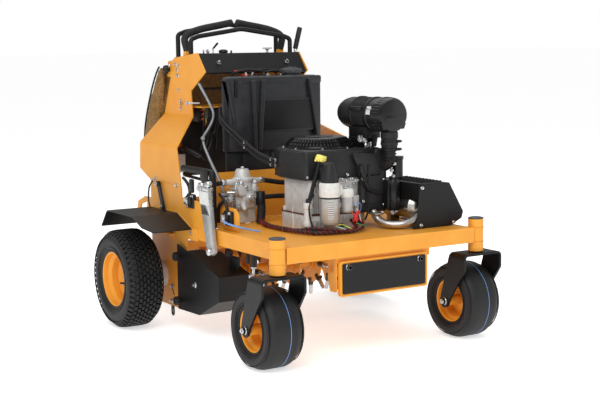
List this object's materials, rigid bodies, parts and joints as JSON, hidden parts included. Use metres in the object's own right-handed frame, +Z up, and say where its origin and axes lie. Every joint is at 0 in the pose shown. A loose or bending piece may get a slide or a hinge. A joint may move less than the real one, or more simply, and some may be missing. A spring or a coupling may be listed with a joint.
{
  "type": "stand-on turf machine",
  "caption": "Stand-on zero-turn turf aerator: open engine deck on front casters and rear drive wheels, control tower, lifting tine reel and folding rear platform.",
  "frame": {"origin": "on the ground, in the middle of the machine's overall length and width", "axes": "+Z up, -Y towards the front casters, +Y towards the operator, X across the machine"},
  "size_m": [1.452, 1.838, 1.4102],
  "materials": {
    "orange_paint": "gloss",
    "black_paint": "satin",
    "black_plastic": "matte",
    "tank_plastic": "grained",
    "cast_aluminium": "as cast",
    "zinc_steel": "zinc plated",
    "muffler_steel": "satin",
    "white_paint": "gloss",
    "tyre_rubber": "matte",
    "hose_rubber": "matte",
    "grip_foam": "matte",
    "pad_cover": "mottled",
    "knob_plastic": "gloss",
    "bare_steel": "worn"
  },
  "bodies": {
    "chassis": {"air_cleaner": "black_plastic", "blower_housing": "black_plastic", "caster_pivot_tubes": "orange_paint", "chain_covers": "black_paint", "console_housing": "black_paint", "control_tube_frame": "black_paint", "dipstick_tube": "black_plastic", "drive_belt": "hose_rubber", "engine_block": "cast_aluminium", "engine_deck": "orange_paint", "fan_cover": "black_plastic", "fenders": "black_paint", "frame_bolts": "zinc_steel", "frame_tubes": "orange_paint", "front_bracket": "orange_paint", "front_panel": "black_paint", "fuel_hoses": "hose_rubber", "fuel_tank": "tank_plastic", "hoses": "hose_rubber", "hydraulic_filter": "white_paint", "hydro_pumps": "cast_aluminium", "intake_stack": "hose_rubber", "left_tower_panel": "orange_paint", "lift_actuator": "cast_aluminium", "lower_side_plates": "orange_paint", "muffler": "muffler_steel", "muffler_guard": "black_paint", "pivot_pins": "zinc_steel", "reference_bars": "black_paint", "right_tower_panel": "orange_paint", "star_knobs": "knob_plastic", "starter_motor": "zinc_steel", "tower_cross_members": "orange_paint", "wheel_motors": "black_paint", "wiring_loom": "black_plastic"},
    "left_caster": {"left_caster_fork": "black_paint"},
    "right_caster": {"right_caster_fork": "black_paint"},
    "left_caster_wheel": {"left_caster_rim": "orange_paint", "left_caster_tyre": "tyre_rubber"},
    "right_caster_wheel": {"right_caster_rim": "orange_paint", "right_caster_tyre": "tyre_rubber"},
    "left_drive_wheel": {"left_drive_rim": "orange_paint", "left_drive_tyre": "tyre_rubber"},
    "right_drive_wheel": {"right_drive_rim": "orange_paint", "right_drive_tyre": "tyre_rubber"},
    "left_lever": {"left_drive_lever": "orange_paint", "left_lever_grip": "grip_foam"},
    "right_lever": {"right_drive_lever": "orange_paint", "right_lever_grip": "grip_foam"},
    "parking_brake": {"brake_lever": "black_plastic"},
    "throttle": {"throttle_lever": "black_plastic"},
    "key": {"ignition_key": "zinc_steel"},
    "choke": {"choke_knob": "white_paint"},
    "tank_cap": {"fuel_cap": "knob_plastic"},
    "crankshaft": {"crank_pulley": "bare_steel"},
    "pump_input": {"pump_pulley": "bare_steel"},
    "tine_arms": {"tine_carrier": "orange_paint"},
    "tine_shaft": {"tine_reel": "bare_steel"},
    "platform": {"operator_platform": "black_paint"},
    "pad": {"operator_pad": "pad_cover"}
  },
  "joints": [
    {"name": "left_caster_swivel", "type": "hinge", "parent": "chassis", "child": "left_caster", "pos_m": [-0.5, -0.842, 0.45], "axis": [0, 0, 1], "continuous": true},
    {"name": "left_caster_roll", "type": "hinge", "parent": "left_caster", "child": "left_caster_wheel", "pos_m": [-0.5, -0.754, 0.165], "axis": [1, 0, 0], "continuous": true},
    {"name": "right_caster_swivel", "type": "hinge", "parent": "chassis", "child": "right_caster", "pos_m": [0.5, -0.842, 0.45], "axis": [0, 0, 1], "continuous": true},
    {"name": "right_caster_roll", "type": "hinge", "parent": "right_caster", "child": "right_caster_wheel", "pos_m": [0.5, -0.754, 0.165], "axis": [1, 0, 0], "continuous": true},
    {"name": "left_wheel_drive", "type": "hinge", "parent": "chassis", "child": "left_drive_wheel", "pos_m": [-0.64, 0.27, 0.226], "axis": [1, 0, 0], "continuous": true},
    {"name": "right_wheel_drive", "type": "hinge", "parent": "chassis", "child": "right_drive_wheel", "pos_m": [0.64, 0.27, 0.226], "axis": [1, 0, 0], "continuous": true},
    {"name": "left_lever_push", "type": "hinge", "parent": "chassis", "child": "left_lever", "pos_m": [-0.257, 0.376, 1.196], "axis": [1, 0, 0], "range_deg": [-9, 9], "stiffness_Nm_per_rad": 15},
    {"name": "right_lever_push", "type": "hinge", "parent": "chassis", "child": "right_lever", "pos_m": [0.257, 0.376, 1.196], "axis": [1, 0, 0], "range_deg": [-9, 9], "stiffness_Nm_per_rad": 15},
    {"name": "brake_set", "type": "hinge", "parent": "chassis", "child": "parking_brake", "pos_m": [0.296, 0.283, 1.205], "axis": [1, 0, 0], "range_deg": [0, 40]},
    {"name": "throttle_set", "type": "hinge", "parent": "chassis", "child": "throttle", "pos_m": [-0.138, 0.338, 1.225], "axis": [1, 0, 0], "range_deg": [-35, 35]},
    {"name": "key_turn", "type": "hinge", "parent": "chassis", "child": "key", "pos_m": [-0.182, 0.308, 1.24], "axis": [0, 0, -1], "range_deg": [0, 80]},
    {"name": "choke_pull", "type": "slide", "parent": "chassis", "child": "choke", "axis": [0, 0, 1], "range_m": [0, 0.02]},
    {"name": "tank_cap_turn", "type": "hinge", "parent": "chassis", "child": "tank_cap", "pos_m": [0.15, 0.103, 1.153], "axis": [0, 0, 1], "continuous": true},
    {"name": "crank_turn", "type": "hinge", "parent": "chassis", "child": "crankshaft", "pos_m": [0, -0.376, 0.462], "axis": [0, 0, 1], "continuous": true},
    {"name": "pump_turn", "type": "hinge", "parent": "chassis", "child": "pump_input", "pos_m": [-0.25, -0.127, 0.462], "axis": [0, 0, 1], "continuous": true},
    {"name": "tine_lift", "type": "hinge", "parent": "chassis", "child": "tine_arms", "pos_m": [0, 0.148, 0.33], "axis": [1, 0, 0], "range_deg": [0, 40]},
    {"name": "reel_turn", "type": "hinge", "parent": "tine_arms", "child": "tine_shaft", "pos_m": [0, -0.207, 0.298], "axis": [1, 0, 0], "continuous": true},
    {"name": "platform_fold", "type": "hinge", "parent": "chassis", "child": "platform", "pos_m": [0, 0.548, 0.205], "axis": [1, 0, 0], "range_deg": [0, 80]},
    {"name": "pad_tilt", "type": "hinge", "parent": "chassis", "child": "pad", "pos_m": [0, 0.648, 0.778], "axis": [-1, 0, 0], "range_deg": [0, 30]}
  ],
  "couplings": [
    {"joint": "pump_turn", "follows": "crank_turn", "ratio": 1}
  ]
}
